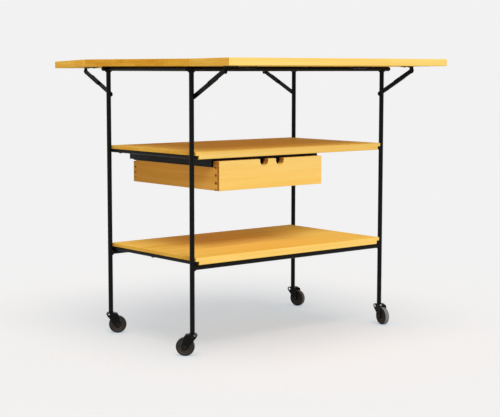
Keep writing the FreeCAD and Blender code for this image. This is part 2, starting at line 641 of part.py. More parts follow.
def drawer_hanger(edge_x, inward):
    """A folded strip on a side's top edge whose upper flange rides on the runner's ledge."""
    y0, y1 = runner_span()[0] - LUG_GAP, DRAWER_BACK_Y
    inner = edge_x + inward * DRAWER_SIDE_T
    foot = box(edge_x, inner, DRAWER_FRONT_Y + DRAWER_FRONT_T - HANGER_LET_IN, y1,
               DRAWER_SIDE_TOP, DRAWER_SIDE_TOP + HANGER_T)
    web = box(inner - inward * HANGER_T, inner, y0, y1, DRAWER_SIDE_TOP, HANGER_TOP)
    reach = edge_x - inward * RUNNER_SIDE_GAP / 2
    flange = box(reach, inner, y0, y1, HANGER_TOP - HANGER_T, HANGER_TOP)
    return foot.fuse([web, flange]).removeSplitter()


def runner_span():
    return DRAWER_FRONT_Y + RUNNER_FRONT_SETBACK, DRAWER_BACK_Y + RUNNER_BACK_PAST_DRAWER


def runner_screw_places(edge_x, inward):
    y0, y1 = runner_span()
    x = edge_x - inward * RUNNER_SIDE_GAP + inward * RUNNER_TOP_FLANGE / 2
    return [(x, y) for y in (y0 + RUNNER_SCREW_INSET, (y0 + y1) / 2, y1 - RUNNER_SCREW_INSET)]


def drawer_runner(edge_x, inward):
    """A channel under the middle shelf; its lower flange is the ledge for the hanger."""
    y0, y1 = runner_span()
    web_in = edge_x - inward * RUNNER_SIDE_GAP
    web_out = web_in - inward * RUNNER_T
    web = box(web_out, web_in, y0, y1, RUNNER_BOTTOM, RUNNER_TOP)
    top = box(web_out, web_in + inward * RUNNER_TOP_FLANGE, y0, y1, RUNNER_TOP - RUNNER_T, RUNNER_TOP)
    ledge_end = edge_x + inward * (DRAWER_SIDE_T - HANGER_T - RUNNER_FOOT_GAP)
    ledge = box(web_out, ledge_end, y0, y1, RUNNER_BOTTOM, LEDGE_TOP)
    channel = web.fuse([top, ledge]).removeSplitter()
    for x, y in runner_screw_places(edge_x, inward):
        channel = channel.cut(shank_hole(x, y, RUNNER_TOP - 2 * RUNNER_T, SMALL_SHANK_R + SCREW_HOLE_GAP,
                                         3 * RUNNER_T))
    return channel


def runner_screws(edge_x, inward):
    return [domed_screw(x, y, RUNNER_TOP - RUNNER_T, SMALL_SHANK_R, SMALL_HEAD_R, SMALL_HEAD_H,
                        RUNNER_T + SMALL_BITE) for x, y in runner_screw_places(edge_x, inward)]


def crossbar(y0, height):
    """A flat bar between the two runners."""
    top = RUNNER_TOP - RUNNER_T
    return box(DRAWER_LEFT - RUNNER_SIDE_GAP, DRAWER_RIGHT + RUNNER_SIDE_GAP, y0, y0 + CROSSBAR_T,
               top - height, top)


DRAWER_EDGES = ((DRAWER_LEFT, 1), (DRAWER_RIGHT, -1))


def build_drawer():
    sides = [drawer_side(DRAWER_LEFT, DRAWER_LEFT + DRAWER_SIDE_T),
             drawer_side(DRAWER_RIGHT - DRAWER_SIDE_T, DRAWER_RIGHT)]
    hangers = [drawer_hanger(edge, inward) for edge, inward in DRAWER_EDGES]
    save("drawer_side_left", sides[0])
    save("drawer_side_right", sides[1])
    save("drawer_front", drawer_front(sides, hangers))
    save("drawer_back", drawer_back(sides))
    save("drawer_bottom", bottom_board())
    save("drawer_hangers", hangers)
    save("drawer_runner_left", drawer_runner(DRAWER_LEFT, 1))
    save("drawer_runner_right", drawer_runner(DRAWER_RIGHT, -1))
    rear_height = RUNNER_TOP - RUNNER_T - LEDGE_TOP
    save("runner_crossbars", [crossbar(runner_span()[0], CROSSBAR_FRONT_HEIGHT),
                              crossbar(DRAWER_BACK_Y + STOP_GAP, rear_height)])


# ---- casters -----------------------------------------------------------------------------------
# Drawn with the swivel axis on Z at the origin and the wheel trailing along +X, its axle along Y.
RIM_Y = WHEEL_WIDTH / 2
PLATE_Y = RIM_Y + FORK_GAP


def hull_of_circles(circles, y0, y1):
    """The flat plate whose outline is a tight band around circles (x, z, r), given clockwise."""
    edges = []
    count = len(circles)
    tangents = []
    for number, (xa, za, ra) in enumerate(circles):
        xb, zb, rb = circles[(number + 1) % count]
        span = math.hypot(xb - xa, zb - za)
        normal = math.atan2(zb - za, xb - xa) + math.acos((ra - rb) / span)
        away = Vec(math.cos(normal), 0, math.sin(normal))
        tangents.append((Vec(xa, y0, za) + away * ra, Vec(xb, y0, zb) + away * rb, normal))
    for number, (xa, za, ra) in enumerate(circles):
        arrive = tangents[number - 1]
        leave = tangents[number]
        turn = (arrive[2] - leave[2]) % (2 * math.pi)
        middle_angle = arrive[2] - turn / 2
        middle = Vec(xa + ra * math.cos(middle_angle), y0, za + ra * math.sin(middle_angle))
        edges.append(Part.Arc(arrive[1], middle, leave[0]).toShape())
        edges.append(Part.makeLine(leave[0], leave[1]))
    face = Part.Face(Part.Wire(edges))
    return face.extrude(Vec(0, y1 - y0, 0))


def fork():
    """The stamped fork with its eye, the swivel collar and the stem."""
    lobe_z = FORK_TOP_Z - FORK_LOBE_R
    circles = [(-FORK_LOBE_BACK, lobe_z, FORK_LOBE_R), (FORK_LOBE_R, lobe_z, FORK_LOBE_R),
               (FORK_SHOULDER_OUT, FORK_TOP_Z - FORK_SHOULDER_DROP - FORK_SHOULDER_R, FORK_SHOULDER_R),
               (TRAIL, WHEEL_R, FORK_BOSS_R)]
    outside = PLATE_Y + FORK_T
    body = hull_of_circles(circles, -outside, outside)
    body = body.cut(box(-TRAIL - WHEEL_R, 3 * WHEEL_R, -PLATE_Y, PLATE_Y, 0, FORK_TOP_Z - FORK_T))
    body = body.cut(rod(Vec(TRAIL, -2 * outside, WHEEL_R), Y_AXIS, AXLE_R + AXLE_CLEARANCE, 4 * outside))
    body = body.cut(rod(Vec(-FORK_LOBE_BACK, -2 * outside, lobe_z), Y_AXIS, FORK_EYE_R, 4 * outside))
    collar = rod(Vec(0, 0, FORK_TOP_Z), Z_AXIS, COLLAR_R, COLLAR_HEIGHT)
    stem = rod(Vec(0, 0, FORK_TOP_Z), Z_AXIS, STEM_R, LEG_FOOT_Z - FORK_TOP_Z + STEM_LENGTH)
    return body.fuse([collar, stem]).removeSplitter()


def axle():
    """The riveted axle, with a head outside each fork plate."""
    outside = PLATE_Y + FORK_T
    pin = rod(Vec(TRAIL, -outside, WHEEL_R), Y_AXIS, AXLE_R, 2 * outside)
    heads = [rod(Vec(TRAIL, -outside - AXLE_HEAD_H, WHEEL_R), Y_AXIS, AXLE_HEAD_R, AXLE_HEAD_H),
             rod(Vec(TRAIL, outside, WHEEL_R), Y_AXIS, AXLE_HEAD_R, AXLE_HEAD_H)]
    return pin.fuse(heads).removeSplitter()


def turned_ring(points):
    """A solid of revolution about the axle from (radius, y) points of its section."""
    section = [Vec(TRAIL + radius, y, WHEEL_R) for radius, y in points]
    face = Part.Face(Part.makePolygon(section + section[:1]))
    return face.revolve(Vec(TRAIL, 0, WHEEL_R), Y_AXIS, 360)


def wheel():
    """The moulded disc with its raised ring and boss, and the tyre around it."""
    bore = AXLE_R + AXLE_CLEARANCE
    web_y = RIM_Y - HUB_WEB_SINK
    boss_y = RIM_Y + HUB_BOSS_OUT
    ring_in = HUB_RING_R - HUB_RING_W / 2
    ring_out = HUB_RING_R + HUB_RING_W / 2
    rim_in = WHEEL_HUB_R - HUB_RIM_W
    half = [(bore, boss_y), (HUB_BOSS_R, boss_y), (HUB_BOSS_R + HUB_BOSS_SLOPE, web_y), (ring_in, web_y),
            (ring_in, RIM_Y - HUB_WEB_SINK / 2), (ring_out, RIM_Y - HUB_WEB_SINK / 2), (ring_out, web_y),
            (rim_in - HUB_RIM_SLOPE, web_y), (rim_in, RIM_Y), (WHEEL_HUB_R, RIM_Y)]
    disc = turned_ring(half + [(radius, -y) for radius, y in reversed(half)])
    tyre = turned_ring([(WHEEL_HUB_R, -RIM_Y), (WHEEL_R, -RIM_Y), (WHEEL_R, RIM_Y), (WHEEL_HUB_R, RIM_Y)])
    rims = [edge for edge in tyre.Edges if abs(edge.BoundBox.ZLength - 2 * WHEEL_R) < 0.01
            and edge.BoundBox.YLength < 0.01]
    return [disc, tyre.makeFillet(TYRE_ROUND, rims)]


def placed(solid, corner):
    """A caster piece turned to its heading and moved under its leg."""
    side_x, side_y = CORNERS[corner]
    copy = solid.copy()
    copy.rotate(Vec(0, 0, 0), Z_AXIS, CASTER_HEADINGS[corner])
    copy.translate(Vec(side_x * LEG_X, side_y * LEG_Y, 0))
    return copy


def caster_socket(side_x, side_y):
    """The bush in the foot of a leg that the caster's stem turns in."""
    foot = Vec(side_x * LEG_X, side_y * LEG_Y, LEG_FOOT_Z)
    sleeve = rod(foot, Z_AXIS, BORE_R, SOCKET_LENGTH)
    return sleeve.cut(rod(foot, Z_AXIS, STEM_R + SWIVEL_CLEARANCE, SOCKET_LENGTH))


def build_casters():
    for corner in CORNERS:
        save("caster_fork_" + corner, placed(fork(), corner))
        save("caster_axle_" + corner, placed(axle(), corner))
        save("caster_wheel_" + corner, [placed(solid, corner) for solid in wheel()])
    save("caster_sockets", [caster_socket(sx, sy) for sx, sy in CORNERS.values()])


# ---- whole trolley -----------------------------------------------------------------------------
def build_frame():
    long_rails = [top_rail(side) for side in (-1, 1)]
    end_rails = [top_end_rail(side, long_rails) for side in (-1, 1)]
    for corner, (side_x, side_y) in CORNERS.items():
        save("leg_" + corner, leg(side_x, side_y, long_rails + end_rails))
    save("top_rail_front", drilled_for_top_screws(long_rails[0], -1))
    save("top_rail_rear", drilled_for_top_screws(long_rails[1], 1))
    save("top_end_rail_left", end_rails[0])
    save("top_end_rail_right", end_rails[1])
    save("lower_rail_front", lower_rail(-1))
    save("lower_rail_rear", lower_rail(1))
    for side, name in ((-1, "left"), (1, "right")):
        save("middle_shelf_rail_" + name, end_rail(side, MIDDLE_SHELF_Z))
        save("lower_shelf_rail_" + name, end_rail(side, LOWER_SHELF_Z))


def build_boards():
    runner_fixings = [screw for edge, inward in DRAWER_EDGES for screw in runner_screws(edge, inward)]
    hinge_fixings = [mirrored_y(screw, side) for side in (-1, 1) for x in (-HINGE_X, HINGE_X)
                     for screw in hinge_screws(x, "fixed")]
    middle_screws = shelf_screws(MIDDLE_SHELF_Z)
    lower_screws = shelf_screws(LOWER_SHELF_Z)
    top_screws = top_rail_screws()
    save("middle_shelf", shelf(MIDDLE_SHELF_Z, middle_screws + runner_fixings))
    save("lower_shelf", shelf(LOWER_SHELF_Z, lower_screws))
    save("centre_panel", centre_panel(top_screws + hinge_fixings))
    save("frame_screws", middle_screws + lower_screws + top_screws)
    save("small_screws", runner_fixings + hinge_fixings)


def build_fixed_hinges():
    save("hinge_fixed_plates", [mirrored_y(hinge_plate(x, "fixed"), side) for side in (-1, 1)
                                for x in (-HINGE_X, HINGE_X)])
    save("hinge_pins", [mirrored_y(hinge_pin(x), side) for side in (-1, 1) for x in (-HINGE_X, HINGE_X)])
    save("stay_leg_pivots", [mirrored_y(mirrored_x(solid, end), side) for side in (-1, 1) for end in (-1, 1)
                             for solid in stay_boss()])


os.makedirs("parts", exist_ok=True)
build_frame()
build_boards()
build_fixed_hinges()
build_leaf("front", -1, -FRONT_LEAF_RISE)
build_leaf("rear", 1, REAR_LEAF_SAG)
build_drawer()
build_casters()
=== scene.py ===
import json
import math

import bpy
from mathutils import Matrix, Vector


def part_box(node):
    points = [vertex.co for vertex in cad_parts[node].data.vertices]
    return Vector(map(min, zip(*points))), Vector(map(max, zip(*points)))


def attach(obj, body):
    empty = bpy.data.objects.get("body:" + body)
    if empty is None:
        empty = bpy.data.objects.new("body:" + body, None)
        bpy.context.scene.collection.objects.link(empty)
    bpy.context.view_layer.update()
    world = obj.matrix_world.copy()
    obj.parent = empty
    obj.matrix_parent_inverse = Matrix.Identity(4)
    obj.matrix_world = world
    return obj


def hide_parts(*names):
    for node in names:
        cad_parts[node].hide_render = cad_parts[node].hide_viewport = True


# Drop leaf tea trolley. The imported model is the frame. This script gives it materials, adds weld
# beads, the pins of the drawer's dovetails and moulded caster wheels, and lights it on a plain pale
# floor. Lengths are in metres.

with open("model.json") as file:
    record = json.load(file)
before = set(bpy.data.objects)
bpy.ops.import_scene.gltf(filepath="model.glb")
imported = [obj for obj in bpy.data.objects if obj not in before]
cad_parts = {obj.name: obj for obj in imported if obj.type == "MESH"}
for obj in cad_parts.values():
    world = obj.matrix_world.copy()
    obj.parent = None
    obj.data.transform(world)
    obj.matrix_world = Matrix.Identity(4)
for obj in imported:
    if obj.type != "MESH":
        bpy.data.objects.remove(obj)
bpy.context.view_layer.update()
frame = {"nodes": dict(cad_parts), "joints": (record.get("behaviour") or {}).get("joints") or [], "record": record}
NODES = frame["nodes"]
MM = 0.001

CORNERS = {"front_left": (-1, -1), "front_right": (1, -1), "rear_left": (-1, 1), "rear_right": (1, 1)}

# ---- colours, as linear light --------------------------------------------------------------------


def linear(red, green, blue):
    """A colour given as 0 to 255 screen values (sRGB), in linear light with alpha."""
    out = []
    for value in (red, green, blue):
        share = value / 255
        out.append(share / 12.92 if share <= 0.04045 else ((share + 0.055) / 1.055) ** 2.4)
    return (*out, 1.0)


WOOD_STREAK = linear(214, 150, 50)
GLUE_BROWN = linear(74, 44, 20)
BLACK_PAINT = linear(9, 9, 9)
BLACK_WORN = linear(31, 31, 31)
DARK_STEEL = linear(60, 58, 56)
ZINC = linear(42, 40, 38)
DISC_BROWN = linear(27, 23, 20)
DISC_WORN = linear(46, 40, 34)
# The ring and the rim of each wheel's disc are a lighter brown as a painted highlight.
RING_HIGHLIGHT_BROWN = linear(61, 53, 45)
RING_HIGHLIGHT_WORN = linear(86, 77, 66)
WALL_GREY = linear(26, 25, 24)
WALL_WORN = linear(42, 39, 36)
TREAD_GREY = linear(118, 117, 116)
TREAD_DUST = linear(140, 139, 137)
WHITE = linear(255, 255, 255)
BACKGROUND = linear(242, 242, 242)
FLOOR_PALE = linear(240, 240, 240)
FLOOR_SEEN = (0.77, 0.645, 0.55, 1.0)   # the floor's own colour for the camera, under warm shade

# ---- light levels --------------------------------------------------------------------------------
WORLD_STRENGTH = 0.34
KEY_TOWARDS = Vector((0.37, 1.0, -0.96)).normalized()
KEY_STRENGTH = 2.46
KEY_SPREAD = 26.0
FILL_TOWARDS = Vector((1.0, 0.25, 0.0)).normalized()
FILL_STRENGTH = 0.46
FILL_SPREAD = 60.0
OVERHEAD_TOWARDS = Vector((0.12, 0.28, -1.0)).normalized()
OVERHEAD_STRENGTH = 1.22
OVERHEAD_SPREAD = 44.0
FLOOR_LIGHT = WORLD_STRENGTH - OVERHEAD_TOWARDS.z * OVERHEAD_STRENGTH / math.pi


# ---- shader node helpers -------------------------------------------------------------------------
# Places of the colour sockets of a Mix node.
MIX_FACTOR = 0
MIX_FIRST = 6
MIX_SECOND = 7
MIX_RESULT = 2


class Nodes:
    """The node tree of a material or a world: makes nodes, sets their inputs and links them."""

    def __init__(self, owner, output_kind):
        owner.use_nodes = True
        self.tree = owner.node_tree
        self.tree.nodes.clear()
        self.output = self.tree.nodes.new(output_kind)

    def add(self, kind, inputs=None, **settings):
        """A new node with its settings and its inputs, each of them a value or another node's socket."""
        made = self.tree.nodes.new(kind)
        for key, value in settings.items():
            setattr(made, key, value)
        for key, value in (inputs or {}).items():
            socket = made.inputs[key]
            if isinstance(value, bpy.types.NodeSocket):
                self.tree.links.new(value, socket)
            else:
                socket.default_value = value
        return made

    def maths(self, operation, first, second=0.0):
        return self.add("ShaderNodeMath", {0: first, 1: second}, operation=operation).outputs[0]

    def weighted(self, first, share, second):
        """A mean of two values, with the first one's share given."""
        return self.maths("ADD", self.maths("MULTIPLY", first, share),
                          self.maths("MULTIPLY", second, 1 - share))

    def sloped(self, value, slope, start):
        """A value times a slope, plus a start."""
        return self.maths("ADD", self.maths("MULTIPLY", value, slope), start)

    def mix(self, factor, first, second):
        inputs = {MIX_FACTOR: factor, MIX_FIRST: first, MIX_SECOND: second}
        made = self.add("ShaderNodeMix", inputs, data_type="RGBA", blend_type="MIX")
        return made.outputs[MIX_RESULT]

    def ramp(self, value, low, high):
        """0 below low and 1 above high, smooth between."""
        made = self.add("ShaderNodeMapRange", {"Value": value, "From Min": low, "From Max": high},
                        interpolation_type="SMOOTHSTEP")
        return made.outputs["Result"]

    def seen_share(self):
        """1 on the rays of the camera, of gloss and of glass, 0 on those that only carry light."""
        rays = self.add("ShaderNodeLightPath")
        seen = self.maths("MAXIMUM", rays.outputs["Is Camera Ray"], rays.outputs["Is Glossy Ray"])
        return self.maths("MAXIMUM", seen, rays.outputs["Is Transmission Ray"])

    def end_with(self, node):
        """Joins the last node to the tree's output."""
        self.tree.links.new(node.outputs[0], self.output.inputs["Surface"])


class Shader(Nodes):
    """A material under construction."""

    def __init__(self, name):
        self.material = bpy.data.materials.new(name)
        super().__init__(self.material, "ShaderNodeOutputMaterial")

    def scaled_place(self, scale, offset):
        """The surface point in metres, stretched by scale and moved by offset."""
        place = self.add("ShaderNodeTexCoord").outputs["Object"]
        made = self.add("ShaderNodeMapping", {"Vector": place, "Scale": scale, "Location": offset})
        return made.outputs["Vector"]

    def noise(self, scale, offset, detail=4.0, rough=0.55, distortion=0.0):
        vector = self.scaled_place(scale, offset)
        made = self.add("ShaderNodeTexNoise", {"Vector": vector, "Scale": 1.0, "Detail": detail,
                                               "Roughness": rough, "Distortion": distortion})
        return made.outputs["Fac"]

    def bump(self, height, strength, distance):
        made = self.add("ShaderNodeBump", {"Height": height, "Strength": strength, "Distance": distance})
        return made.outputs["Normal"]

    def surface(self, inputs):
        """The finished material, with these inputs of the Principled shader."""
        self.end_with(self.add("ShaderNodeBsdfPrincipled", inputs))
        return self.material


# ---- materials -----------------------------------------------------------------------------------
AXES = {"X": 0, "Y": 1, "Z": 2}
FACING_FROM = 0.55               # share of the normal along an axis where a face starts to count
FACING_FULL = 0.85


def along_grain(axis, along, across):
    """A texture scale that is low along the grain and high across it."""
    scale = [across, across, across]
    scale[AXES[axis]] = along
    return tuple(scale)


def facing_share(shader, axis):
    """1 on faces that look along the axis, 0 on the others."""
    normal = shader.add("ShaderNodeTexCoord").outputs["Normal"]
    parts = shader.add("ShaderNodeSeparateXYZ", {"Vector": normal})
    facing = shader.maths("ABSOLUTE", parts.outputs[AXES[axis]])
    return shader.ramp(facing, FACING_FROM, FACING_FULL)


def seeded(seed, steps):
    """Where a piece's texture starts, so that no two pieces show the same figure."""
    return tuple(seed * step for step in steps)


# Light and dark figure of each kind of board: its flat faces, its long edges and its end grain.
# The tones are partly painted light and shade, set by the way each face looks: the long
# edges of the top and the shelves are paler than their flat faces as a painted highlight, their
# ends are about as bright as their flat faces as painted light, and the drawer's sides, back and
# bottom are darker as painted shade.
SHELF_TONES = {"flat": (linear(251, 207, 101), linear(243, 190, 76)),
               "edge": (linear(252, 214, 124), linear(244, 194, 92)),
               "end": (linear(243, 193, 84), linear(231, 166, 59))}
LEAF_TONES = {"flat": SHELF_TONES["flat"],
              "edge": (linear(253, 220, 128), linear(245, 200, 97)),
              "end": (linear(251, 199, 89), linear(242, 174, 65))}
PANEL_TONES = {"flat": SHELF_TONES["flat"],
               "edge": SHELF_TONES["edge"],
               "end": (linear(244, 183, 63), linear(225, 153, 42))}
FRONT_TONES = {"flat": (linear(252, 212, 124), linear(244, 196, 98)),
               "edge": (linear(252, 212, 122), linear(243, 196, 96)),
               "end": (linear(196, 134, 58), linear(158, 102, 40))}
# The drawer's sides, back and bottom are darker than the shelves as painted shade.
DRAWER_TONES_PAINTED_SHADE = {"flat": (linear(242, 181, 86), linear(217, 153, 63)),
              "edge": (linear(226, 164, 70), linear(200, 136, 50)),
              "end": (linear(210, 150, 62), linear(184, 122, 44))}

# Texture scales along the grain and across it, per metre.
BROAD_FIGURE = (0.9, 7.0)
GROWTH_RINGS = (1.6, 46.0)
PORES = (9.0, 420.0)
FLECKS = (60.0, 700.0)
END_PORES = (30.0, 260.0)
END_LAYERS = (40.0, 14.0, 160.0)
WOOD_SEED_STEPS = (3.7, 5.3, 7.9)

# Where each figure starts to show in its noise, and where it shows in full.
FIGURE_SHOWS = (0.36, 0.66)
STREAK_SHOWS = (0.60, 0.78)
PORE_SHOWS = (0.52, 0.80)
FLECK_SHOWS = (0.66, 0.78)
END_SHOWS = (0.38, 0.62)

STREAK_SHARE = 0.38              # how much of its darker colour each figure brings in
PORE_SHARE = 0.26
FLECK_SHARE = 0.30
WOOD_ROUGH = 0.50
PORE_ROUGHER = 0.12
END_ROUGHER = 0.15
WOOD_SPECULAR = 0.005
WOOD_BUMP = (0.12, 0.4 * MM)     # strength and depth


def long_grain_colour(shader, figures, flat_axis, tones):
    """The colour of a board's flat faces and long edges, whose tones are partly painted light."""
    broad, rings, fine, fleck = figures
    figure = shader.ramp(shader.weighted(broad, 0.5, rings), *FIGURE_SHOWS)
    flat_colour = shader.mix(figure, *tones["flat"])
    # The edge tone is painted light: a painted highlight on the long edges of the top and shelves, painted shade
    # on the edges of the drawer's sides, back and bottom.
    edge_colour_painted_light = shader.mix(figure, *tones["edge"])
    colour = shader.mix(facing_share(shader, flat_axis), edge_colour_painted_light, flat_colour)
    streak = shader.maths("MULTIPLY", shader.ramp(rings, *STREAK_SHOWS), STREAK_SHARE)
    colour = shader.mix(streak, colour, WOOD_STREAK)
    pores = shader.maths("MULTIPLY", shader.ramp(fine, *PORE_SHOWS), PORE_SHARE)
    colour = shader.mix(pores, colour, WOOD_STREAK)
    flecks = shader.maths("MULTIPLY", shader.ramp(fleck, *FLECK_SHOWS), FLECK_SHARE)
    return shader.mix(flecks, colour, tones["end"][1])


def end_grain_with_painted_light(shader, axis, offset, tones):
    """The colour of the ends, where the grain is cut across. On the top and the shelves it is partly
    painted light, about as bright as their flat faces.
    """
    cut = shader.noise(along_grain(axis, *END_PORES), offset, detail=4.0)
    layered = shader.noise(END_LAYERS, offset, detail=4.0, distortion=0.4)
    figure = shader.weighted(cut, 0.4, layered)
    return shader.mix(shader.ramp(figure, *END_SHOWS), *tones["end"])


def wood(name, axis, flat_axis, seed, tones):
    """Light close-grained wood under a thin lacquer, with its grain along one axis."""
    shader = Shader(name)
    offset = seeded(seed, WOOD_SEED_STEPS)
    broad = shader.noise(along_grain(axis, *BROAD_FIGURE), offset, detail=3.0)
    rings = shader.noise(along_grain(axis, *GROWTH_RINGS), offset, detail=5.0, distortion=0.6)
    fine = shader.noise(along_grain(axis, *PORES), offset, detail=3.0, rough=0.6)
    fleck = shader.noise(along_grain(axis, *FLECKS), offset, detail=2.0)
    end = facing_share(shader, axis)
    long_colour = long_grain_colour(shader, (broad, rings, fine, fleck), flat_axis, tones)
    # The end tone of the top and shelves is painted light.
    colour = shader.mix(end, long_colour, end_grain_with_painted_light(shader, axis, offset, tones))
    gloss = shader.sloped(fine, PORE_ROUGHER, WOOD_ROUGH)
    gloss = shader.maths("ADD", gloss, shader.maths("MULTIPLY", end, END_ROUGHER))
    height = shader.weighted(fine, 0.6, rings)
    return shader.surface({"Base Color": colour, "Roughness": gloss, "IOR": 1.45,
                           "Specular IOR Level": WOOD_SPECULAR,
                           "Normal": shader.bump(height, *WOOD_BUMP)})


PAINT_SEED_STEPS = (2.1, 4.3, 1.7)
RUB_SCALE = (16.0, 16.0, 9.0)
PEEL_SCALE = (900.0, 900.0, 900.0)
SCRATCH_SCALE = (260.0, 260.0, 22.0)
RUB_SHOWS = (0.56, 0.74)
SCRATCH_SHOWS = (0.68, 0.76)
SCRATCH_SHARE = 0.35
RUB_ROUGHER = 0.22
PAINT_SPECULAR = 0.10
PAINT_BUMP = (0.15, 0.3 * MM)


def black_paint(name, seed, rough=0.38, worn=0.25):
    """Satin black paint on steel, a little mottled, rubbed greyer in places."""
    shader = Shader(name)
    offset = seeded(seed, PAINT_SEED_STEPS)
    rub = shader.noise(RUB_SCALE, offset, detail=6.0, rough=0.65)
    orange_peel = shader.noise(PEEL_SCALE, offset, detail=2.0)
    scratch = shader.noise(SCRATCH_SCALE, offset, detail=5.0, rough=0.7)
    wear = shader.maths("MULTIPLY", shader.ramp(rub, *RUB_SHOWS), worn)
    colour = shader.mix(wear, BLACK_PAINT, BLACK_WORN)
    scratched = shader.maths("MULTIPLY", shader.ramp(scratch, *SCRATCH_SHOWS), SCRATCH_SHARE)
    colour = shader.mix(scratched, colour, BLACK_WORN)
    gloss = shader.sloped(rub, RUB_ROUGHER, rough - RUB_ROUGHER / 2)
    height = shader.weighted(orange_peel, 0.7, scratch)
    return shader.surface({"Base Color": colour, "Roughness": gloss, "IOR": 1.5,
                           "Specular IOR Level": PAINT_SPECULAR,
                           "Normal": shader.bump(height, *PAINT_BUMP)})


METAL_SEED_STEPS = (1.3, 2.9, 3.1)
PATCH_SCALE = (120.0, 120.0, 120.0)
GRAIN_SCALE = (1400.0, 1400.0, 1400.0)
PATCH_SHOWS = (0.42, 0.66)
DULL_SHARE = 0.6                 # of the bare colour, in the dull patches
METAL_BUMP = (0.12, 0.2 * MM)

# Metal and plastic are rougher in patches, about evenly to both sides of the given roughness.
PATCH_ROUGHER = 0.25
PATCH_SMOOTHER = 0.12


def bare_metal(name, seed, base, rough):
    """Plated or oxidised steel with fine dull patches."""
    shader = Shader(name)
    offset = seeded(seed, METAL_SEED_STEPS)
    patch = shader.noise(PATCH_SCALE, offset, detail=5.0)
    grain = shader.noise(GRAIN_SCALE, offset, detail=2.0)
    dull = tuple(value * DULL_SHARE for value in base[:3]) + (1.0,)
    colour = shader.mix(shader.ramp(patch, *PATCH_SHOWS), base, dull)
    gloss = shader.sloped(patch, PATCH_ROUGHER, rough - PATCH_SMOOTHER)
    return shader.surface({"Base Color": colour, "Roughness": gloss, "Metallic": 0.9,
                           "Normal": shader.bump(grain, *METAL_BUMP)})


MOULD_SEED_STEPS = (2.7, 1.9, 3.3)
SCUFF_SCALE = (180.0, 180.0, 180.0)
SPECK_SCALE = (1600.0, 1600.0, 1600.0)
SCUFF_SHOWS = (0.46, 0.70)
MOULD_SPECULAR = 0.2
MOULD_BUMP = (0.18, 0.3 * MM)


def moulded(name, seed, base, worn, rough, dust):
    """Moulded plastic or rubber, scuffed and dusty in patches."""
    shader = Shader(name)
    offset = seeded(seed, MOULD_SEED_STEPS)
    scuff = shader.noise(SCUFF_SCALE, offset, detail=6.0, rough=0.65)
    speck = shader.noise(SPECK_SCALE, offset, detail=2.0)
    dusty = shader.maths("MULTIPLY", shader.ramp(scuff, *SCUFF_SHOWS), dust)
    colour = shader.mix(dusty, base, worn)
    gloss = shader.sloped(scuff, PATCH_ROUGHER, rough - PATCH_SMOOTHER)
    return shader.surface({"Base Color": colour, "Roughness": gloss, "IOR": 1.5,
                           "Specular IOR Level": MOULD_SPECULAR,
                           "Normal": shader.bump(speck, *MOULD_BUMP)})


def floor_material():
    """A pale floor with the object's shadow; where nothing shades it, the camera sees the background's
    own colour, because light is added to make up for what the floor itself gives back."""
    shader = Shader("pale_floor")
    seen = shader.seen_share()
    lit = shader.add("ShaderNodeBsdfDiffuse", {"Color": shader.mix(seen, FLOOR_PALE, FLOOR_SEEN)})
    made_up = tuple(want - own * FLOOR_LIGHT for want, own in zip(BACKGROUND[:3], FLOOR_SEEN))
    glow = shader.add("ShaderNodeEmission", {"Color": (*made_up, 1.0), "Strength": seen})
    shader.end_with(shader.add("ShaderNodeAddShader", {0: lit.outputs[0], 1: glow.outputs[0]}))
    return shader.material


MATERIALS = {
    "black_tube_steel": black_paint("black_tube_paint", 1.0),
    "black_sheet_steel": black_paint("black_sheet_paint", 2.0, rough=0.34, worn=0.35),
    "screw_steel": bare_metal("dark_screw_steel", 3.0, DARK_STEEL, rough=0.42),
    "dark_zinc": bare_metal("dull_zinc", 4.0, ZINC, rough=0.45),
}
DISC = moulded("moulded_brown_disc", 5.0, DISC_BROWN, DISC_WORN, rough=0.5, dust=0.5)
RING_HIGHLIGHT = moulded("disc_rings_painted_highlight", 6.0, RING_HIGHLIGHT_BROWN, RING_HIGHLIGHT_WORN, rough=0.55, dust=0.7)
TYRE_WALL = moulded("dark_tyre_wall", 7.0, WALL_GREY, WALL_WORN, rough=0.6, dust=0.6)
TREAD = moulded("grey_tread", 8.0, TREAD_GREY, TREAD_DUST, rough=0.75, dust=0.7)
GLUE = moulded("brown_glue_line", 9.0, GLUE_BROWN, WOOD_STREAK, rough=0.6, dust=0.15)

# Each wooden node with the axis of its grain, the axis its flat faces look along, and its tones.
WOODEN = {"centre_panel": ("X", "Z", PANEL_TONES), "front_leaf": ("X", "Z", LEAF_TONES),
          "rear_leaf": ("X", "Z", LEAF_TONES), "middle_shelf": ("X", "Z", SHELF_TONES),
          "lower_shelf": ("X", "Z", SHELF_TONES), "drawer_front": ("X", "Y", FRONT_TONES),
          "drawer_back": ("X", "Y", DRAWER_TONES_PAINTED_SHADE), "drawer_bottom": ("X", "Z", DRAWER_TONES_PAINTED_SHADE),
          "drawer_side_left": ("Y", "X", DRAWER_TONES_PAINTED_SHADE), "drawer_side_right": ("Y", "X", DRAWER_TONES_PAINTED_SHADE)}


def finish_node(node, material):
    """Gives a CAD node this one material."""
    mesh = node.data
    mesh.materials.clear()
    mesh.materials.append(material)


def dress_cad_nodes():
    slots = {entry["node"]: entry["material_slot"] for entry in frame["record"]["subparts"]}
    for seed, (name, (axis, flat_axis, tones)) in enumerate(WOODEN.items(), start=1):
        finish_node(NODES[name], wood("wood_" + name, axis, flat_axis, seed, tones))
    for name, node in NODES.items():
        if name not in WOODEN and slots[name] in MATERIALS:
            finish_node(node, MATERIALS[slots[name]])


# ---- mesh helpers --------------------------------------------------------------------------------
def middle(node):
    """The middle of a CAD node's box."""
    low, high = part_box(node)
    return (low + high) / 2


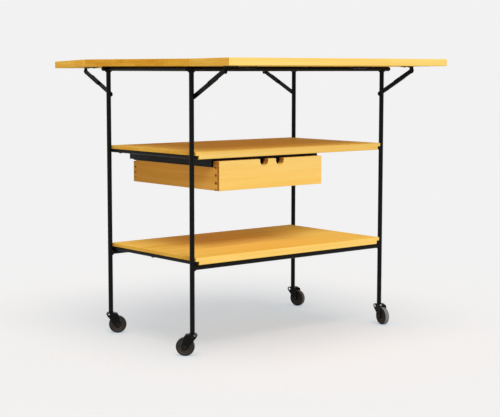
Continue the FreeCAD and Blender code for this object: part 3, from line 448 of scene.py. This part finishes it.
def new_piece(name, vertices, faces, material, body, slot, smooth=True):
    mesh = bpy.data.meshes.new(name)
    mesh.from_pydata([tuple(v) for v in vertices], [], faces)
    mesh.validate()
    mesh.update()
    mesh.materials.append(material)
    for polygon in mesh.polygons:
        polygon.use_smooth = smooth
    piece = bpy.data.objects.new(name, mesh)
    bpy.context.scene.collection.objects.link(piece)
    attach(piece, body)
    return piece


NEARLY_UPRIGHT = 0.95            # the way's share along Z above which Z can't give the sideways
RIPPLE_TURN = 2.4                # radians of swelling from one point of a bead to the next


def swept_bead(path, radius, sides=8, ripple=0.18):
    """A closed bead that follows a closed path, swelling and shrinking like a weld."""
    vertices = []
    faces = []
    count = len(path)
    for number, point in enumerate(path):
        ahead = path[(number + 1) % count]
        behind = path[number - 1]
        way = (ahead - behind).normalized()
        across = way.orthogonal() if abs(way.z) > NEARLY_UPRIGHT else way.cross(Vector((0, 0, 1)))
        across.normalize()
        up = across.cross(way).normalized()
        size = radius * (1 + ripple * math.sin(number * RIPPLE_TURN))
        for side in range(sides):
            turn = 2 * math.pi * side / sides
            vertices.append(point + (across * math.cos(turn) + up * math.sin(turn)) * size)
    for number in range(count):
        following = (number + 1) % count
        for side in range(sides):
            other = (side + 1) % sides
            faces.append((number * sides + side, number * sides + other,
                          following * sides + other, following * sides + side))
    return vertices, faces


def joined(parts):
    """Several (vertices, faces) lists as one."""
    vertices = []
    faces = []
    for more_vertices, more_faces in parts:
        start = len(vertices)
        vertices += list(more_vertices)
        faces += [tuple(index + start for index in face) for face in more_faces]
    return vertices, faces


# ---- weld beads ----------------------------------------------------------------------------------
BEAD_R = 2.6 * MM
BEAD_OUT = 0.8 * MM              # the bead's middle line, outside the seam
BEAD_STEPS = 44
SADDLE_WIDTH = 0.96              # of the tube, which keeps the seam's sides off the other's middle


def tube_radius():
    low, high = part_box("leg_front_left")
    return (high.x - low.x) / 2


def saddle():
    """The seam round a tube that meets another of its size, step by step: how far along the other tube,
    how far sideways, and how far out from the other tube's middle."""
    radius = tube_radius()
    seam = []
    for step in range(BEAD_STEPS):
        turn = 2 * math.pi * step / BEAD_STEPS
        side = radius * math.sin(turn)
        reach = math.sqrt(radius ** 2 - (SADDLE_WIDTH * side) ** 2)
        seam.append((radius * math.cos(turn), side, reach + BEAD_OUT))
    return seam


def saddle_under_rail(corner):
    """The seam where a leg meets the rail above it."""
    leg = middle("leg_" + corner)
    rail = middle("top_rail_front")
    return [Vector((leg.x + along, leg.y + side, rail.z - out))
            for along, side, out in saddle()]


def saddle_beside_leg(corner, rail_name):
    """The seam where a lower long rail meets the side of a leg."""
    leg = middle("leg_" + corner)
    rail = middle(rail_name)
    inward = -1 if leg.x > 0 else 1
    return [Vector((leg.x + inward * out, leg.y + side, rail.z + along))
            for along, side, out in saddle()]


def add_weld_beads():
    paint = MATERIALS["black_tube_steel"]
    for corner, (_, side_y) in CORNERS.items():
        rail = "lower_rail_front" if side_y < 0 else "lower_rail_rear"
        beads = [swept_bead(saddle_under_rail(corner), BEAD_R),
                 swept_bead(saddle_beside_leg(corner, rail), BEAD_R)]
        new_piece("weld_beads_" + corner, *joined(beads), paint, "frame", "black_tube_steel")


# ---- drawer joints -------------------------------------------------------------------------------
PIN_PROUD = 0.12 * MM
PIN_LENGTH = 5.0 * MM
FRONT_TAIL = 10.0 * MM
BACK_TAIL = 12.0 * MM
TAILS = 3
PIN_HALF_ROOT = 2.3 * MM
PIN_HALF_TIP = 1.5 * MM


def pin_mark(x, out, root, way, z, low, high):
    """A thin dark wedge on a side's face: the end grain and the glue of one pin."""
    tip = root + way * PIN_LENGTH
    corners = []
    for y, half in ((root, PIN_HALF_ROOT), (tip, PIN_HALF_TIP)):
        corners += [(y, max(low, z - half)), (y, min(high, z + half))]
    vertices = [(x + depth, y, height) for depth in (0.0, out * PIN_PROUD) for y, height in corners]
    faces = [(0, 1, 3, 2), (4, 6, 7, 5), (0, 4, 5, 1), (2, 3, 7, 6), (0, 2, 6, 4), (1, 5, 7, 3)]
    return vertices, faces


def add_pin_marks():
    """Between the tails at the front and the back of each side of the drawer."""
    marks = []
    front_low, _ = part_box("drawer_front")
    back_low, back_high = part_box("drawer_back")
    for node, out in (("drawer_side_left", -1), ("drawer_side_right", 1)):
        low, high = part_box(node)
        face = low.x if out < 0 else high.x
        joints = [(low.y + FRONT_TAIL, -1, front_low.z, high.z),
                  (high.y - BACK_TAIL, 1, back_low.z, back_high.z)]
        for root, way, bottom, top in joints:
            for number in range(TAILS + 1):
                z = bottom + (top - bottom) * number / TAILS
                marks.append(pin_mark(face, out, root, way, z, bottom, top))
    new_piece("drawer_pin_marks", *joined(marks), GLUE, "drawer", "drawer_wood", smooth=False)


# ---- caster wheels -------------------------------------------------------------------------------
WHEEL_STEPS = 72


def lathe(profile, steps):
    """A closed profile of (radius, y) points turned about the Y axis."""
    vertices = []
    faces = []
    count = len(profile)
    for step in range(steps):
        turn = 2 * math.pi * step / steps
        for radius, y in profile:
            vertices.append(Vector((radius * math.cos(turn), y, radius * math.sin(turn))))
    for step in range(steps):
        following = (step + 1) % steps
        for number in range(count):
            other = (number + 1) % count
            faces.append((step * count + number, step * count + other,
                          following * count + other, following * count + number))
    return vertices, faces


def arc_points(centre, radius, start, end, steps):
    """Points of an arc in (radius, y) space, from one angle to another in degrees."""
    out = []
    for step in range(steps + 1):
        turn = math.radians(start + (end - start) * step / steps)
        out.append((centre[0] + radius * math.cos(turn), centre[1] + radius * math.sin(turn)))
    return out


def wheel_axle_axis(corner):
    """The wheel's centre, and the direction that its joint turns about."""
    joint = next(joint for joint in frame["joints"] if joint["name"] == "wheel_spin_" + corner)
    return middle("caster_wheel_" + corner), Vector(joint["axis"]).normalized()


WHEEL_HALF = 7.5 * MM
WHEEL_RIM = 19.5 * MM
SHOULDER = 3.4 * MM
WEB_SINK = 2.4 * MM
SHOULDER_STEPS = 6


def tyre_profile(outer):
    """The tyre's section, and the numbers of its faces that are side wall."""
    start = arc_points((outer - SHOULDER, -WHEEL_HALF + SHOULDER), SHOULDER, -90, 0, SHOULDER_STEPS)
    end = arc_points((outer - SHOULDER, WHEEL_HALF - SHOULDER), SHOULDER, 0, 90, SHOULDER_STEPS)
    profile = [(WHEEL_RIM, -WHEEL_HALF)] + start + [(outer, 0.0)] + end + [(WHEEL_RIM, WHEEL_HALF)]
    count = len(profile)
    wall = SHOULDER_STEPS - 1
    return profile, set(range(wall)) | set(range(count - 1 - wall, count))


# The disc's section: radii, and heights from the wheel's side.
BORE_R = 3.05 * MM
BOSS_TOP_R = 5.4 * MM
BOSS_EDGE_R = 6.0 * MM
BOSS_FOOT_R = 7.0 * MM
BOSS_PROUD = 1.4 * MM
BOSS_EDGE_PROUD = 0.9 * MM
RING_R = 13.0 * MM
RING_HALF = 1.4 * MM
RING_STEPS = 6
RIM_FOOT_R = 16.9 * MM
RIM_INNER_R = 17.7 * MM
RIM_R = 18.6 * MM
RIM_ROUND = 0.6 * MM
RIM_ARC = (150, 30)              # degrees
RIM_STEPS = 3
RIM_BELOW = 0.5 * MM
DISC_EDGE_BELOW = 0.6 * MM


def disc_profile():
    """The disc's section with a boss, a raised ring and a rim, and the numbers of the faces of its ring
    and rim, which are lighter as a painted highlight.
    """
    web = WHEEL_HALF - WEB_SINK
    rim_y = WHEEL_HALF - RIM_BELOW
    boss = [(BORE_R, WHEEL_HALF + BOSS_PROUD), (BOSS_TOP_R, WHEEL_HALF + BOSS_PROUD),
            (BOSS_EDGE_R, WHEEL_HALF + BOSS_EDGE_PROUD), (BOSS_FOOT_R, web)]
    ring = arc_points((RING_R, web), RING_HALF, 180, 0, RING_STEPS)
    rim = [(RIM_FOOT_R, web), (RIM_INNER_R, rim_y)]
    rim += arc_points((RIM_R, rim_y), RIM_ROUND, *RIM_ARC, RIM_STEPS)
    rim += [(WHEEL_RIM, WHEEL_HALF - DISC_EDGE_BELOW)]
    side = boss + ring + rim
    highlight_faces = set(range(len(boss), len(boss) + len(ring) - 1))
    highlight_faces |= set(range(len(boss) + len(ring), len(side) - 1))
    profile = side + [(radius, -y) for radius, y in reversed(side)]
    highlight_faces |= {len(profile) - 2 - number for number in highlight_faces}
    return profile, highlight_faces


def caster_wheel(corner):
    """A tyre with rounded shoulders and a grey tread, and its moulded disc, whose ring and rim carry a
    painted highlight.
    """
    low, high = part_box("caster_wheel_" + corner)
    outer = (high.z - low.z) / 2
    centre, axle = wheel_axle_axis(corner)
    turn = Vector((0, 1, 0)).rotation_difference(axle).to_matrix().to_4x4()
    place = Matrix.Translation(centre) @ turn
    for label, (profile, special), material, other in (("tyre", tyre_profile(outer), TREAD, TYRE_WALL),
                                                       ("disc", disc_profile(), DISC, RING_HIGHLIGHT)):
        vertices, faces = lathe(profile, WHEEL_STEPS)
        vertices = [place @ vertex for vertex in vertices]
        piece = new_piece("caster_" + label + "_" + corner, vertices, faces, material,
                          "caster_wheel_" + corner, "wheel_plastic")
        piece.data.materials.append(other)
        for number, polygon in enumerate(piece.data.polygons):
            polygon.material_index = 1 if number % len(profile) in special else 0
    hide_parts("caster_wheel_" + corner)


# ---- camera, lights and floor --------------------------------------------------------------------
CAMERA_PLACE = (-2.3141, -2.8068, 0.7379)
CAMERA_YAW = 39.610            # degrees from +Y towards +X
CAMERA_PITCH = 6.191           # degrees below level
CAMERA_ROLL = 0.063
CAMERA_LENS = 93.01
SENSOR_WIDTH = 36.0
CLIP_END = 200.0


def add_camera():
    data = bpy.data.cameras.new("camera")
    data.sensor_fit = "HORIZONTAL"
    data.sensor_width = SENSOR_WIDTH
    data.lens = CAMERA_LENS
    data.clip_end = CLIP_END
    camera = bpy.data.objects.new("camera", data)
    bpy.context.scene.collection.objects.link(camera)
    turn = Matrix.Rotation(math.radians(-CAMERA_YAW), 4, "Z")
    tilt = Matrix.Rotation(math.radians(90 - CAMERA_PITCH), 4, "X")
    roll = Matrix.Rotation(math.radians(CAMERA_ROLL), 4, "Z")
    camera.matrix_world = Matrix.Translation(CAMERA_PLACE) @ turn @ tilt @ roll
    bpy.context.scene.camera = camera


def add_sun(name, towards, strength, spread):
    """A soft sun that shines along a direction; its spread is in degrees."""
    data = bpy.data.lights.new(name, "SUN")
    data.energy = strength
    data.angle = math.radians(spread)
    lamp = bpy.data.objects.new(name, data)
    bpy.context.scene.collection.objects.link(lamp)
    lamp.rotation_euler = Vector(towards).to_track_quat("-Z", "Y").to_euler()
    return lamp


def add_world():
    """Even studio light; the camera, gloss and glass see the pale background."""
    world = bpy.data.worlds.new("studio")
    bpy.context.scene.world = world
    nodes = Nodes(world, "ShaderNodeOutputWorld")
    light = nodes.add("ShaderNodeBackground", {"Color": WHITE, "Strength": WORLD_STRENGTH})
    seen = nodes.add("ShaderNodeBackground", {"Color": BACKGROUND})
    sources = {0: nodes.seen_share(), 1: light.outputs[0], 2: seen.outputs[0]}
    nodes.end_with(nodes.add("ShaderNodeMixShader", sources))


FLOOR_HALF = 60.0


def add_floor():
    mesh = bpy.data.meshes.new("floor")
    corners = [(-FLOOR_HALF, -FLOOR_HALF, 0), (FLOOR_HALF, -FLOOR_HALF, 0),
               (FLOOR_HALF, FLOOR_HALF, 0), (-FLOOR_HALF, FLOOR_HALF, 0)]
    mesh.from_pydata(corners, [], [(0, 1, 2, 3)])
    floor = bpy.data.objects.new("floor", mesh)
    bpy.context.scene.collection.objects.link(floor)
    mesh.materials.append(floor_material())
    return floor


def light_only(lamp, floor, state):
    """The lamp lights the floor alone ("INCLUDE"), or everything but the floor ("EXCLUDE")."""
    group = bpy.data.collections.new(lamp.name + "_lights")
    group.objects.link(floor)
    group.collection_objects[0].light_linking.link_state = state
    lamp.light_linking.receiver_collection = group


# ---- the scene -----------------------------------------------------------------------------------
scene = bpy.context.scene
scene.view_settings.view_transform = "Standard"
add_camera()
dress_cad_nodes()
add_weld_beads()
add_pin_marks()
for wheel_corner in CORNERS:
    caster_wheel(wheel_corner)
add_world()
stage_floor = add_floor()
key = add_sun("key", KEY_TOWARDS, KEY_STRENGTH, KEY_SPREAD)
fill = add_sun("fill", FILL_TOWARDS, FILL_STRENGTH, FILL_SPREAD)
overhead = add_sun("overhead", OVERHEAD_TOWARDS, OVERHEAD_STRENGTH, OVERHEAD_SPREAD)
light_only(key, stage_floor, "EXCLUDE")
light_only(fill, stage_floor, "EXCLUDE")
light_only(overhead, stage_floor, "INCLUDE")
